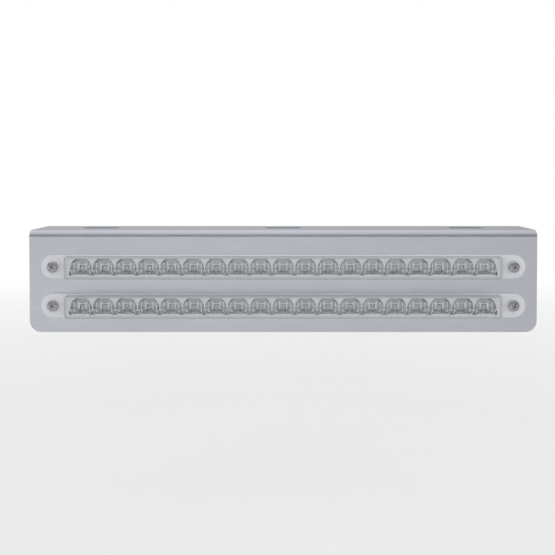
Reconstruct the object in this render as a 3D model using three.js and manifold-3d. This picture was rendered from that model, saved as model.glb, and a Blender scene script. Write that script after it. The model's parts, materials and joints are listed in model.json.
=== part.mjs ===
// Truck light bracket: a bent stainless angle that carries two surface-mounted LED light bars.
//
// Millimetres, +Z up. The bar faces -Y and its length runs along X. The origin is on the top face of
// the mounting flange, at mid-length, on the flat strip between the bend and the middle slot.

import * as THREE from "three";
import { mergeVertices } from "three/addons/utils/BufferGeometryUtils.js";
import Module from "manifold-3d";

const wasm = await Module();
wasm.setup();

// ---- Driving dimensions ----------------------------------------------------------------------

const LENGTH = 457.2; // bracket, along X
const FACE_HEIGHT = 92; // from the flange's top face down to the bottom edge
const FLANGE_DEPTH = 50.8; // from the face plate's front to the flange's rear edge
const SHEET = 1.5; // stainless sheet thickness
const BEND_RADIUS = 6.4; // outside radius of the bend
const CORNER_RADIUS = 10.5; // lower corners of the face plate

const FACE_FRONT_Y = -14; // front of the face plate
const FACE_BACK_Y = FACE_FRONT_Y + SHEET;
const FLANGE_REAR_Y = FACE_FRONT_Y + FLANGE_DEPTH;

const SLOT_LENGTH = 35; // end to end, along X
const SLOT_WIDTH = 14;
const SLOT_SPACING = 171.5;
const SLOT_Y = FACE_FRONT_Y + 30.5;

const LAMP_SPACING = 34.9;
const LAMP_HEIGHTS = { upper: -32.5, lower: -32.5 - LAMP_SPACING }; // centre line of each light bar
const SCREW_SPACING = 412.75;
const TAB_RADIUS = 10.8;
const TAB_THICKNESS = 3;
const BOSS_RADIUS = 6.5; // raised ring round each tab's screw hole
const BOSS_HEIGHT = 0.5;

// Depths of the light bar's pieces are distances in front of the face plate.
const LENS_LENGTH = 388; // clear body, without the tabs
const LENS_HEIGHT = 20.8; // along Z
const LENS_FRONT = 13.5;
const LENS_WALL = 1.6;
const LENS_FRONT_WALL = 1.8;
const LENS_CORNER_RADIUS = 2.4;
const LENS_BEVEL = 1;
const RIB_THICKNESS = 1.6; // gusset between each end wall and its tab
const RIB_REACH = 4;
const RIB_TOP = 9.5;

const LED_COUNT = 19;
const LED_PITCH = 19.88;
const LED_BASE = 3.5; // square package
const LED_BASE_HEIGHT = 1.1;
const LED_DOME_RADIUS = 1.4;
const LED_DOME_HEIGHT = 1.2;

const CUP_RIM_RADIUS = 9.4;
const CUP_MIDDLE_RADIUS = 7; // halfway up the bowl
const CUP_THROAT_RADIUS = 3.1;
const CUP_HALF_HEIGHT = 8; // the cups are cut flat above and below
const REFLECTOR_LENGTH = 383.8;
const REFLECTOR_HEIGHT = 17; // along Z
const REFLECTOR_BACK = 4.6;
const REFLECTOR_FRONT = 11.2;

const BOARD_BACK = 2.8;
const BOARD_THICKNESS = 1.5;
const BOARD_LENGTH = 380;
const BOARD_HEIGHT = 14;
const RESISTOR_LENGTH = 3.2;
const RESISTOR_WIDTH = 1.6;
const RESISTOR_HEIGHT = 0.5;
const LEDS_PER_RESISTOR = 3;

const FIT = 0.2; // gap between neighbouring pieces
const HOUSING_FLOOR = 1.4;
const HOUSING_RIM = 1.3;
const OUTLET_RADIUS = 5.5; // round outlet for the leads, through the face plate
const OUTLET_BORE = 3.8;
const OUTLET_REACH = 6.5; // behind the face plate's front
const OUTLET_HOLE_RADIUS = 6.2; // in the face plate
const SEAL_REACH = 6; // behind the face plate's front
const LEAD_HOLE_RADIUS = 0.9;
const LEAD_CIRCLE_RADIUS = 1.9;
const LEAD_COUNT = 3;

const SCREW_RADIUS = 2.45; // M5
const SCREW_LENGTH = 12; // under the head
const SCREW_POINT = 0.6; // chamfer at the end
const SCREW_HOLE_RADIUS = 2.9;
const HEAD_RADIUS = 5;
const HEAD_HEIGHT = 3;
const HEAD_EDGE_HEIGHT = 1.2;
const RECESS_LENGTH = 5.2;
const RECESS_WIDTH = 1.1;
const RECESS_DEPTH = 1.9;
const RECESS_TURN = 28; // degrees

const NUT_FLATS = 8;
const NUT_HEIGHT = 5;
const NUT_BORE = 2.75;
const NUT_FLANGE_RADIUS = 5.8;
const NUT_FLANGE_EDGE = 0.8;
const NUT_FLANGE_HEIGHT = 1.9;

const ROUND_SIDES = 24;
const SMALL_SIDES = 12;
const LONG = 1000; // longer than the bracket, for cutters

// ---- Materials -------------------------------------------------------------------------------

const finish = (color, roughness, metalness, opacity = 1) =>
  new THREE.MeshStandardMaterial({ color, roughness, metalness, opacity, transparent: opacity < 1 });

const STAINLESS = finish(0xb9bcc5, 0.32, 1);
const CLEAR_LENS = finish(0xd9dcdf, 0.08, 0, 0.35);
const CHROMED_PLASTIC = finish(0xc9cbce, 0.08, 1);
const BOARD_WHITE = finish(0xd9dad6, 0.55, 0);
const LED_RESIN = finish(0xd8d2bd, 0.3, 0);
const PALE_PLASTIC = finish(0xc9cac8, 0.6, 0);
const BLACK_RUBBER = finish(0x141414, 0.85, 0);
const SCREW_STEEL = finish(0x9fa1a4, 0.25, 1);

// ---- Shapes and solids -----------------------------------------------------------------------

function solid(geometry) {
  geometry.deleteAttribute("normal");
  geometry.deleteAttribute("uv");
  const merged = mergeVertices(geometry, 1e-4);
  return new wasm.Manifold(
    new wasm.Mesh({
      numProp: 3,
      vertProperties: new Float32Array(merged.attributes.position.array),
      triVerts: new Uint32Array(merged.index.array),
    }),
  );
}

function geometryOf(manifold) {
  const mesh = manifold.getMesh();
  const geometry = new THREE.BufferGeometry();
  geometry.setAttribute("position", new THREE.BufferAttribute(mesh.vertProperties, 3));
  geometry.setIndex(new THREE.BufferAttribute(mesh.triVerts, 1));
  geometry.computeVertexNormals();
  return geometry;
}

const joined = (...solids) => solids.reduce((whole, piece) => whole.add(piece));
const cut = (whole, ...cutters) => whole.subtract(joined(...cutters));

function box([x0, x1], [y0, y1], [z0, z1]) {
  const geometry = new THREE.BoxGeometry(x1 - x0, y1 - y0, z1 - z0);
  geometry.translate((x0 + x1) / 2, (y0 + y1) / 2, (z0 + z1) / 2);
  return solid(geometry);
}

// A cylinder along Y from y0 to y1, through the point (x, z).
function rod(radius, [y0, y1], x = 0, z = 0, sides = ROUND_SIDES) {
  const geometry = new THREE.CylinderGeometry(radius, radius, y1 - y0, sides);
  geometry.translate(x, (y0 + y1) / 2, z);
  return solid(geometry);
}

function roundedRectangle(width, height, radius) {
  const shape = new THREE.Shape();
  const [x, y] = [width / 2, height / 2];
  shape.absarc(x - radius, -y + radius, radius, -Math.PI / 2, 0);
  shape.absarc(x - radius, y - radius, radius, 0, Math.PI / 2);
  shape.absarc(-x + radius, y - radius, radius, Math.PI / 2, Math.PI);
  shape.absarc(-x + radius, -y + radius, radius, Math.PI, Math.PI * 1.5);
  shape.closePath();
  return shape;
}

// A shape drawn in X and Z, extruded along Y from y0 to y1.
function alongY(shape, [y0, y1], curveSegments = 6, bevel = 0) {
  const geometry = new THREE.ExtrudeGeometry(shape, {
    depth: y1 - y0 - 2 * bevel,
    bevelEnabled: bevel > 0,
    bevelSize: bevel,
    bevelOffset: -bevel,
    bevelThickness: bevel,
    bevelSegments: 2,
    curveSegments,
  });
  geometry.rotateX(Math.PI / 2);
  geometry.translate(0, y1 - bevel, 0);
  return solid(geometry);
}

// A shape drawn in X and Y, extruded along Z from z0 to z1.
function alongZ(shape, [z0, z1], curveSegments = 6) {
  const geometry = new THREE.ExtrudeGeometry(shape, { depth: z1 - z0, bevelEnabled: false, curveSegments });
  geometry.translate(0, 0, z0);
  return solid(geometry);
}

// A shape drawn in Y and Z, extruded along X over the length, centred.
function alongX(shape, length, curveSegments = 6) {
  const geometry = new THREE.ExtrudeGeometry(shape, { depth: length, bevelEnabled: false, curveSegments });
  geometry.translate(0, 0, -length / 2);
  geometry.applyMatrix4(
    new THREE.Matrix4().makeBasis(
      new THREE.Vector3(0, 1, 0),
      new THREE.Vector3(0, 0, 1),
      new THREE.Vector3(1, 0, 0),
    ),
  );
  return solid(geometry);
}

// A solid of revolution about Y. A profile point is [radius, distance in front of the plate].
function turned(profile, sides) {
  const points = profile.map(([radius, front]) => new THREE.Vector2(radius, -front));
  return solid(new THREE.LatheGeometry(points.reverse(), sides));
}

// Distances in front of the face plate, as a span along Y in the lamp's own frame.
const inFront = (near, far) => [-far, -near];

const screwXs = { left: -SCREW_SPACING / 2, right: SCREW_SPACING / 2 };
const ledXs = Array.from({ length: LED_COUNT }, (_, i) => (i - (LED_COUNT - 1) / 2) * LED_PITCH);

// ---- Bracket ---------------------------------------------------------------------------------

function bracketProfile() {
  const inner = BEND_RADIUS - SHEET;
  const [bendY, bendZ] = [FACE_FRONT_Y + BEND_RADIUS, -BEND_RADIUS];
  const profile = new THREE.Shape();
  profile.moveTo(FACE_FRONT_Y, -FACE_HEIGHT);
  profile.lineTo(FACE_BACK_Y, -FACE_HEIGHT);
  profile.lineTo(FACE_BACK_Y, bendZ);
  profile.absarc(bendY, bendZ, inner, Math.PI, Math.PI / 2, true);
  profile.lineTo(FLANGE_REAR_Y, -SHEET);
  profile.lineTo(FLANGE_REAR_Y, 0);
  profile.lineTo(bendY, 0);
  profile.absarc(bendY, bendZ, BEND_RADIUS, Math.PI / 2, Math.PI, false);
  profile.closePath();
  return profile;
}

function bracket() {
  const faceOutline = roundedRectangle(LENGTH, 2 * FACE_HEIGHT, CORNER_RADIUS);
  const blank = alongX(bracketProfile(), LENGTH).intersect(alongY(faceOutline, [-LONG, LONG], 8));

  const slot = alongZ(roundedRectangle(SLOT_LENGTH, SLOT_WIDTH, SLOT_WIDTH / 2), [-2 * SHEET, SHEET]);
  const slots = [-1, 0, 1].map((side) => slot.translate([side * SLOT_SPACING, SLOT_Y, 0]));

  const through = [FACE_FRONT_Y - SHEET, FACE_BACK_Y + SHEET];
  const holes = Object.values(LAMP_HEIGHTS).flatMap((z) => [
    rod(OUTLET_HOLE_RADIUS, through, 0, z),
    ...Object.values(screwXs).map((x) => rod(SCREW_HOLE_RADIUS, through, x, z, SMALL_SIDES)),
  ]);
  return cut(blank, ...slots, ...holes);
}

// ---- Light bar pieces, each about the bar's own centre with the plate's front at y = 0 --------

function tab(side) {
  const [wall, screw] = [LENS_LENGTH / 2, SCREW_SPACING / 2];
  const outline = new THREE.Shape();
  outline.absarc(screw, 0, TAB_RADIUS, -Math.PI / 2, Math.PI / 2, false);
  outline.lineTo(wall - LENS_WALL, TAB_RADIUS);
  outline.lineTo(wall - LENS_WALL, -TAB_RADIUS);
  outline.closePath();
  const plate = alongY(outline, inFront(FIT, TAB_THICKNESS), 10);
  const boss = rod(BOSS_RADIUS, inFront(FIT, TAB_THICKNESS + BOSS_HEIGHT), screw);

  const gusset = new THREE.Shape();
  gusset.moveTo(wall - LENS_WALL, -RIB_TOP);
  gusset.lineTo(wall, -RIB_TOP);
  gusset.lineTo(wall + RIB_REACH, -TAB_THICKNESS);
  gusset.lineTo(wall + RIB_REACH, -FIT);
  gusset.lineTo(wall - LENS_WALL, -FIT);
  gusset.closePath();
  const rib = alongZ(gusset, [-RIB_THICKNESS / 2, RIB_THICKNESS / 2]);

  const hole = rod(SCREW_HOLE_RADIUS, inFront(-LENS_FRONT, LENS_FRONT), screw, 0, SMALL_SIDES);
  const right = cut(joined(plate, boss, rib), hole);
  return side > 0 ? right : right.mirror([1, 0, 0]);
}

function lens() {
  const shell = alongY(
    roundedRectangle(LENS_LENGTH, LENS_HEIGHT, LENS_CORNER_RADIUS),
    inFront(-LENS_BEVEL - FIT, LENS_FRONT),
    3,
    LENS_BEVEL,
  );
  const hollow = alongY(
    roundedRectangle(LENS_LENGTH - 2 * LENS_WALL, LENS_HEIGHT - 2 * LENS_WALL, LENS_CORNER_RADIUS / 2),
    inFront(-LENS_FRONT, LENS_FRONT - LENS_FRONT_WALL),
    3,
  );
  const behind = box([-LONG, LONG], [-FIT, LONG], [-LONG, LONG]);
  return cut(joined(shell, tab(1), tab(-1)), hollow, behind);
}

// The empty space of one cup: a faceted bowl, cut flat above and below, open at the throat.
function cupSpace() {
  const bowl = turned(
    [
      [0, REFLECTOR_BACK - FIT],
      [CUP_THROAT_RADIUS, REFLECTOR_BACK - FIT],
      [CUP_THROAT_RADIUS, REFLECTOR_BACK],
      [CUP_MIDDLE_RADIUS, (REFLECTOR_BACK + REFLECTOR_FRONT) / 2],
      [CUP_RIM_RADIUS, REFLECTOR_FRONT],
      [CUP_RIM_RADIUS, REFLECTOR_FRONT + FIT],
      [0, REFLECTOR_FRONT + FIT],
    ],
    SMALL_SIDES,
  );
  return bowl.intersect(box([-LONG, LONG], [-LONG, LONG], [-CUP_HALF_HEIGHT, CUP_HALF_HEIGHT]));
}

function reflector() {
  const strip = box(
    [-REFLECTOR_LENGTH / 2, REFLECTOR_LENGTH / 2],
    inFront(REFLECTOR_BACK, REFLECTOR_FRONT),
    [-REFLECTOR_HEIGHT / 2, REFLECTOR_HEIGHT / 2],
  );
  const bowl = cupSpace();
  return cut(strip, ...ledXs.map((x) => bowl.translate([x, 0, 0])));
}

// The board, with the resistors that feed each group of LEDs soldered to its back.
function circuitBoard() {
  const board = box(
    [-BOARD_LENGTH / 2, BOARD_LENGTH / 2],
    inFront(BOARD_BACK, BOARD_BACK + BOARD_THICKNESS),
    [-BOARD_HEIGHT / 2, BOARD_HEIGHT / 2],
  );
  const resistor = box(
    [-RESISTOR_LENGTH / 2, RESISTOR_LENGTH / 2],
    inFront(BOARD_BACK - RESISTOR_HEIGHT, BOARD_BACK + BOARD_THICKNESS / 2),
    [-RESISTOR_WIDTH / 2, RESISTOR_WIDTH / 2],
  );
  const fedXs = ledXs.filter((x, i) => i % LEDS_PER_RESISTOR === 1);
  return joined(board, ...fedXs.map((x) => resistor.translate([x, 0, 0])));
}

// One surface-mounted LED: a square package with a low dome, soldered to the board.
function led() {
  const back = BOARD_BACK + BOARD_THICKNESS + FIT / 2;
  const top = back + LED_BASE_HEIGHT;
  const base = box([-LED_BASE / 2, LED_BASE / 2], inFront(back, top), [-LED_BASE / 2, LED_BASE / 2]);
  const dome = turned(
    [
      [0, back],
      [LED_DOME_RADIUS, back],
      [LED_DOME_RADIUS, top],
      [LED_DOME_RADIUS * Math.SQRT1_2, top + LED_DOME_HEIGHT * Math.SQRT1_2],
      [0, top + LED_DOME_HEIGHT],
    ],
    8,
  );
  return joined(base, dome);
}

// The tray that closes the back of the lens, with the round outlet that passes through the plate.
function housing() {
  const [length, height] = [LENS_LENGTH - 2 * (LENS_WALL + FIT), LENS_HEIGHT - 2 * (LENS_WALL + FIT)];
  const back = 2 * FIT;
  const block = alongY(
    roundedRectangle(length, height, LENS_CORNER_RADIUS / 2),
    inFront(back, BOARD_BACK - FIT),
    3,
  );
  const inside = box(
    [HOUSING_RIM - length / 2, length / 2 - HOUSING_RIM],
    inFront(back + HOUSING_FLOOR, LENS_FRONT),
    [HOUSING_RIM - height / 2, height / 2 - HOUSING_RIM],
  );
  const outlet = rod(OUTLET_RADIUS, inFront(-OUTLET_REACH, back + HOUSING_FLOOR));
  const bore = rod(OUTLET_BORE, inFront(-LONG, LONG));
  return cut(joined(cut(block, inside), outlet), bore);
}

// The rubber seal in the outlet, with a hole for each lead.
function wireSeal() {
  const plug = rod(OUTLET_BORE - FIT, inFront(-SEAL_REACH, HOUSING_FLOOR));
  const leadHoles = Array.from({ length: LEAD_COUNT }, (_, i) => {
    const turn = Math.PI / 2 + (2 * Math.PI * i) / LEAD_COUNT;
    const [x, z] = [LEAD_CIRCLE_RADIUS * Math.cos(turn), LEAD_CIRCLE_RADIUS * Math.sin(turn)];
    return rod(LEAD_HOLE_RADIUS, inFront(-LONG, LONG), x, z, SMALL_SIDES);
  });
  return cut(plug, ...leadHoles);
}

// ---- Fasteners, on the same axes -------------------------------------------------------------

// A pan-head machine screw with a cross recess.
function screw() {
  const seat = TAB_THICKNESS + BOSS_HEIGHT + FIT / 2;
  const end = seat - SCREW_LENGTH;
  const body = turned(
    [
      [0, end],
      [SCREW_RADIUS - SCREW_POINT, end],
      [SCREW_RADIUS, end + SCREW_POINT],
      [SCREW_RADIUS, seat],
      [HEAD_RADIUS, seat],
      [HEAD_RADIUS, seat + HEAD_EDGE_HEIGHT],
      [HEAD_RADIUS * 0.85, seat + HEAD_HEIGHT * 0.75],
      [HEAD_RADIUS * 0.5, seat + HEAD_HEIGHT * 0.95],
      [0, seat + HEAD_HEIGHT],
    ],
    16,
  );
  const arm = box(
    [-RECESS_LENGTH / 2, RECESS_LENGTH / 2],
    inFront(seat + HEAD_HEIGHT - RECESS_DEPTH, LENS_FRONT),
    [-RECESS_WIDTH / 2, RECESS_WIDTH / 2],
  );
  const cross = joined(arm, arm.rotate([0, 90, 0])).rotate([0, RECESS_TURN, 0]);
  return cut(body, cross);
}

// A hexagon flange nut behind the plate.
function nut() {
  const seat = -SHEET - FIT / 2;
  const hexagon = rod(NUT_FLATS / Math.sqrt(3), inFront(seat - NUT_HEIGHT, seat), 0, 0, 6);
  const flange = turned(
    [
      [0, seat - NUT_FLANGE_HEIGHT],
      [NUT_FLATS / 2, seat - NUT_FLANGE_HEIGHT],
      [NUT_FLANGE_RADIUS, seat - NUT_FLANGE_EDGE],
      [NUT_FLANGE_RADIUS, seat],
      [0, seat],
    ],
    16,
  );
  return cut(joined(hexagon, flange), rod(NUT_BORE, inFront(-LONG, LONG), 0, 0, SMALL_SIDES));
}

// ---- Assembly --------------------------------------------------------------------------------

function named(name, geometry, material) {
  const mesh = new THREE.Mesh(geometry, material);
  mesh.name = name;
  return mesh;
}

const lampPieces = {
  lens: [geometryOf(lens()), CLEAR_LENS],
  reflector: [geometryOf(reflector()), CHROMED_PLASTIC],
  circuit_board: [geometryOf(circuitBoard()), BOARD_WHITE],
  housing: [geometryOf(housing()), PALE_PLASTIC],
  wire_seal: [geometryOf(wireSeal()), BLACK_RUBBER],
};
const ledGeometry = geometryOf(led());
const screwGeometry = geometryOf(screw());
const nutGeometry = geometryOf(nut());

const assembly = new THREE.Group();
assembly.add(named("mounting_bracket", geometryOf(bracket()), STAINLESS));

for (const [row, z] of Object.entries(LAMP_HEIGHTS)) {
  const lamp = new THREE.Group();
  lamp.position.set(0, FACE_FRONT_Y, z);
  for (const [piece, [geometry, material]] of Object.entries(lampPieces)) {
    lamp.add(named(`${row}_${piece}`, geometry, material));
  }
  ledXs.forEach((x, i) => {
    const emitter = named(`${row}_led_${String(i + 1).padStart(2, "0")}`, ledGeometry, LED_RESIN);
    emitter.position.x = x;
    lamp.add(emitter);
  });
  for (const [side, x] of Object.entries(screwXs)) {
    const fastener = named(`${row}_${side}_screw`, screwGeometry, SCREW_STEEL);
    const lockNut = named(`${row}_${side}_nut`, nutGeometry, SCREW_STEEL);
    fastener.position.x = x;
    lockNut.position.x = x;
    lamp.add(fastener, lockNut);
  }
  assembly.add(lamp);
}

export default assembly;
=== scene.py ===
"""Looks of the LED light bar: fine meshes, materials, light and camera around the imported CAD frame.

Lengths in this script are millimetres until mm() turns them into Blender's metres. A light bar's own
pieces are drawn about its centre line: x to the right, z up, and "front" the distance in front of
the face plate.
"""

import json
import math

import bmesh
import bpy
from mathutils import Matrix, Vector

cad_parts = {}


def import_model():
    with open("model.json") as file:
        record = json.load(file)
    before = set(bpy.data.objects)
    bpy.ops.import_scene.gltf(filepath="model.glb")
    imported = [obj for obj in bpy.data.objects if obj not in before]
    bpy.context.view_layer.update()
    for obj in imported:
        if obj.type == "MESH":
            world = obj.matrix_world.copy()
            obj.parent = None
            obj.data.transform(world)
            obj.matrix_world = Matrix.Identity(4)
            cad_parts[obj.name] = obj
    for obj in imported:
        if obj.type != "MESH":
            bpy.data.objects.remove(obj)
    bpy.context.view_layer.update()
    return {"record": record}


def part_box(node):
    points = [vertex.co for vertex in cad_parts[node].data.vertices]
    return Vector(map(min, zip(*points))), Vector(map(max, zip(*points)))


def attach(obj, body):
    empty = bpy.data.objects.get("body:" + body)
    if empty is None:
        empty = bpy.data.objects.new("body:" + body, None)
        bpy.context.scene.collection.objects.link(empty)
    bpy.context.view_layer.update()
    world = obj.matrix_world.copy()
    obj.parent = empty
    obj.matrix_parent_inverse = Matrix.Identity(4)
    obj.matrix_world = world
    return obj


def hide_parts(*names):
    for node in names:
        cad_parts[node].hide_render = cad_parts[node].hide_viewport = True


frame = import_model()

BODY = "root"
ROWS = ("upper", "lower")
SIDES = ("left", "right")
LED_COUNT = 19

# ---- Driving dimensions that the frame doesn't give ---------------------------------------------

SHEET = 1.5
BEND_RADIUS = 6.4
CORNER_RADIUS = 10.5
SLOT_LENGTH = 35
SLOT_WIDTH = 14
OUTLET_HOLE_RADIUS = 6.2
SCREW_HOLE_RADIUS = 2.9
EDGE_BREAK = 0.25  # deburred sheet edges
MITRE_ROOM = 0.005  # the mitred corners of the edge break stand out by less than this

FIT = 0.2  # between neighbouring pieces
TAB_RADIUS = 10.8
TAB_THICKNESS = 3
TAB_EDGE = 0.35
BOSS_RADIUS = 6.5
BOSS_HEIGHT = 0.5
BOSS_FOOT = 0.6  # how far the boss spreads at its foot
BOSS_EDGE = (0.3, 0.1)  # bevel round its top, inwards and down
LENS_LENGTH = 388
LENS_HEIGHT = 20.8
LENS_FRONT = 13.5
LENS_WALL = 1.6
LENS_FRONT_WALL = 1.8
LENS_BORDER = 2.35  # width of the textured border above and below the clear front
LENS_END_BORDER = 2.7  # and past its ends
BORDER_RISE = 0.35  # how far the clear front sits above the lens's middle
LENS_CORNER_RADIUS = 2.4
LENS_FILLET = 1.2
LENS_INNER_FILLET = 0.15
LENS_DRAFT = 0.25  # how much each side leans in from the base to the front
CORNER_TIGHTENING = 0.6  # how much a corner's radius loses against its inset
SMALLEST_CORNER = 0.3
WALL_PAINTED_SHADE_AT, WALL_PAINTED_LIGHT_AT = 11, 3  # between these distances in front of the plate the walls go from painted shade at the front to painted light near the plate
RIB_THICKNESS = 1.6
RIB_REACH = 4
RIB_TOP = 9.5

REFLECTOR_BACK = 4.6
REFLECTOR_FRONT = 11.2
REFLECTOR_LENGTH = 383.8
REFLECTOR_HALF_HEIGHT = 8.5
CUP_RIM_RADIUS = 9.4
# Heights over a cup's middle, z.
CUP_TOP = 8.3  # of the middle column
CUP_SHOULDER = 7.1
CUP_BOTTOM = -5.7
SEAM = -1.0
THROAT_TOP = 2.3
THROAT_BOTTOM = -3.1
# Half width of the throat against z.
THROAT_WIDTH = ((-3.1, 2.35), (0.1, 2.15), (1.0, 2.05), (1.85, 1.9), (2.1, 1.4), (2.3, 0.8))
THROAT_LIP = ((1.2, 4.9), (2.1, 6.0))  # front of the throat's edge against z
SPREAD = (-3.3, 3.05)  # past these heights the middle facet reaches from stroke to stroke
# The stroke is the line where the middle and side facets meet: its x against z.
STROKE = ((-5.7, 4.7), (-3.3, 4.0), (-1.2, 3.1), (0.1, 2.75), (1.6, 3.05), (4.4, 3.9), (8.3, 4.6))
STROKE_HALF_WIDTH = 0.55
# Distance in front of the plate against z: of the cups' rims, along the middle of a cup, along the
# stroke and along the ledge. The strip below the cups faces up a little.
RIM_FRONT = ((-8.5, 11.2), (-7.3, 10.75))
MIDDLE_DEPTH = (
    (-5.7, 10.75), (-5.4, 9.9), (-3.22, 6.2), (-3.1, 4.6),
    (2.3, 4.6), (2.42, 6.0), (3.1, 6.0), (6.9, 7.6), (8.3, 10.75))
STROKE_DEPTH = (
    (-5.7, 10.75), (-5.4, 10.0), (-3.6, 6.9), (-2.6, 6.1), (4.4, 6.1), (6.9, 7.9), (8.3, 10.75))
LEDGE_DEPTH = ((-5.7, 10.75), (-4.6, 8.2), (4.2, 8.2), (7.1, 10.75))
LEDGE = (6.4, 7.1)  # upright ledge in the side facets, by distance from the cup's middle
LEDGE_TO_RIM = (0.9, 0.3)  # least distance of the ledge's two edges from the rim
THROAT_EDGE = 0.12  # width of the steep edge round the throat
SPREAD_GAP = 0.25  # from the widened middle facet to the stroke
SHOULDER_GAP = 0.35  # from the stroke to the flat above the shoulder
SHOULDER_STEP = 0.1  # height over which the side facets close above the shoulder
SEAM_HALF_WIDTH = 0.45
SEAM_GROOVE = 0.6
RIM_LIP = 0.6
POCKET = (-6.6, -2.3)  # the hollow between two cups below their seam
POCKET_DEPTH = 3.2
POCKET_WALL = 0.4
POCKET_EDGE = 0.3
END_POCKET_WALL = 0.5
END_RISE = 1.2  # the last of the flat strip past the end cups, which slopes forward
# From knot to knot of a row of points, from the cup's middle out: number of steps, and how far the
# facet sags between them if it rises by more than SAG_RISE.
CELL_STEPS = (1, 1, 2, 2, 4, 2, 4, 1, 1, 1)
CELL_SAG = (0, 0, 0, 0, 0.18, 0, 0.14, 0, 0, 0)
SAG_RISE = 0.2
ROW_HEIGHT = 0.55  # about, between two rows of points

LED_BASE = 3.5
LED_BASE_HEIGHT = 1.1
LED_EDGE = 0.12
LED_WELL_RADIUS = 1.55
LED_WELL_TAPER = 0.15
LED_WELL_DEPTH = 0.18
LED_DOME_RADIUS = 1.38
LED_SIDES = 40
DOME_STEPS = 10
BOARD_BACK = 2.8
BOARD_THICKNESS = 1.5
BOARD_LENGTH = 380
BOARD_HEIGHT = 14
BOARD_CORNER = 1.0
BOARD_EDGE = 0.1
RESISTOR_LENGTH = 3.2
RESISTOR_WIDTH = 1.6
RESISTOR_HEIGHT = 0.5
RESISTOR_EDGE = 0.08
LEDS_PER_RESISTOR = 3

HOUSING_FLOOR = 1.4
HOUSING_RIM = 1.3
HOUSING_INNER_CORNER = 0.6
HOUSING_EDGE = 0.25
OUTLET_RADIUS = 5.5
OUTLET_BORE = 3.8
SEAL_CHAMFER = 0.5
SEAL_EDGE = 0.3
SEAL_ROUNDING = 0.12
LEAD_HOLE_RADIUS = 0.9
LEAD_HOLE_SIDES = 24
LEAD_CIRCLE_RADIUS = 1.9
LEAD_COUNT = 3

SCREW_RADIUS = 2.45
SHANK_CHAMFER = 0.6
THREAD_PITCH = 0.8
THREAD_DEPTH = 0.4
GROOVE_FLAT, GROOVE_FLANK = 0.125, 0.25  # shares of the pitch: the groove's floor and each flank
THREAD_STEP = 0.1
HEAD_RADIUS = 5
HEAD_HEIGHT = 3
HEAD_FOOT = ((0.25, 0), (0.05, 0.12), (0, 0.35))  # inset and height of its rounded lower edge
HEAD_SIDE = 1.0  # height at which the crown starts
CROWN_POWERS = (0.55, 1.15)  # of the quarter circle's cosine and sine, which square it off
CROWN_STEPS = 16
RECESS_LENGTH = 5.2
RECESS_WIDTH = 1.1
RECESS_DEPTH = 1.9
RECESS_TAPER = ((0.42, 0.6, 1.0), (0.8, 0.85, 0.45))  # shares of its length, width and depth
RECESS_REACH = 1  # of its cutter past the head
RECESS_TURN = 28  # degrees
RECESS_EDGE = 0.07
NUT_FLATS = 8
NUT_BORE = 2.75
NUT_CHAMFER = 0.5
NUT_COUNTERSINK = 0.45
NUT_EDGE = 0.1
NUT_FLANGE = ((3.6, 2.2), (4.3, 1.9), (5.55, 0.85), (5.8, 0.6), (5.8, 0))  # radius, height over its seat

# Sides of round forms, and steps of rounded corners and edges.
ROUND = 64
FINE_ROUND = 72
BORE_SIDES = 48
HOLE_SIDES = 32
BEND_STEPS = 24
CORNER_STEPS = 16
TAB_STEPS = 40
LENS_CORNER_STEPS = 8
HOUSING_CORNER_STEPS = 6
SMALL_CORNER_STEPS = 4
FILLET_STEPS = 6
BEVEL_SEGMENTS = 2
LONG = 1000  # longer than the object, for cutters
OVERLAP = 0.05  # how far joined forms and cutters reach past the face where they meet
WELD = 0.01  # points of neighbouring cells that are closer than this are joined
SAME_POINT = 0.001


def mm(value):
    """Millimetres to Blender's metres."""
    return value * 0.001


def span(node, axis):
    """Lowest and highest coordinate of a CAD node along an axis, in millimetres."""
    low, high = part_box(node)
    return low[axis] * 1000, high[axis] * 1000


def centre(node, axis):
    return sum(span(node, axis)) / 2


def extent(node, axis):
    low, high = span(node, axis)
    return high - low


FACE_FRONT_Y = span("mounting_bracket", 1)[0]
FACE_BACK_Y = FACE_FRONT_Y + SHEET
FLANGE_REAR_Y = span("mounting_bracket", 1)[1] - MITRE_ROOM
BOTTOM_Z = span("mounting_bracket", 2)[0]
BRACKET_LENGTH = extent("mounting_bracket", 0)
LAMP_Z = {row: centre(f"{row}_lens", 2) for row in ROWS}
SCREW_X = {side: centre(f"upper_{side}_screw", 0) for side in SIDES}
LED_X = [centre(f"upper_led_{i:02d}", 0) for i in range(1, LED_COUNT + 1)]
LED_PITCH = LED_X[1] - LED_X[0]


def front_span(node):
    """Nearest and farthest distance of a CAD node in front of the face plate."""
    low, high = span(node, 1)
    return FACE_FRONT_Y - high, FACE_FRONT_Y - low


def on_plate(row, x=0):
    """The point of the face plate behind a place on a light bar's centre line."""
    return x, FACE_FRONT_Y, LAMP_Z[row]


# ---- Outlines and meshes ------------------------------------------------------------------------


def arc(x, z, radius, start, end, steps):
    """Points on an arc, from start to end degrees."""
    angles = [math.radians(start + (end - start) * i / steps) for i in range(steps + 1)]
    return [(x + radius * math.cos(a), z + radius * math.sin(a)) for a in angles]


def rounded_rectangle(width, height, radius, steps):
    x, z = width / 2 - radius, height / 2 - radius
    corners = ((x, z, 0), (-x, z, 90), (-x, -z, 180), (x, -z, 270))
    return [p for cx, cz, start in corners for p in arc(cx, cz, radius, start, start + 90, steps)]


def mesh_from(points, faces):
    """A mesh, in metres, from points in millimetres."""
    mesh = bpy.data.meshes.new("mesh")
    mesh.from_pydata([mm(Vector(p)) for p in points], [], faces)
    mesh.validate()
    built = bmesh.new()
    built.from_mesh(mesh)
    bmesh.ops.remove_doubles(built, verts=built.verts, dist=mm(SAME_POINT))
    bmesh.ops.recalc_face_normals(built, faces=built.faces)
    built.to_mesh(mesh)
    built.free()
    return mesh


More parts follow.
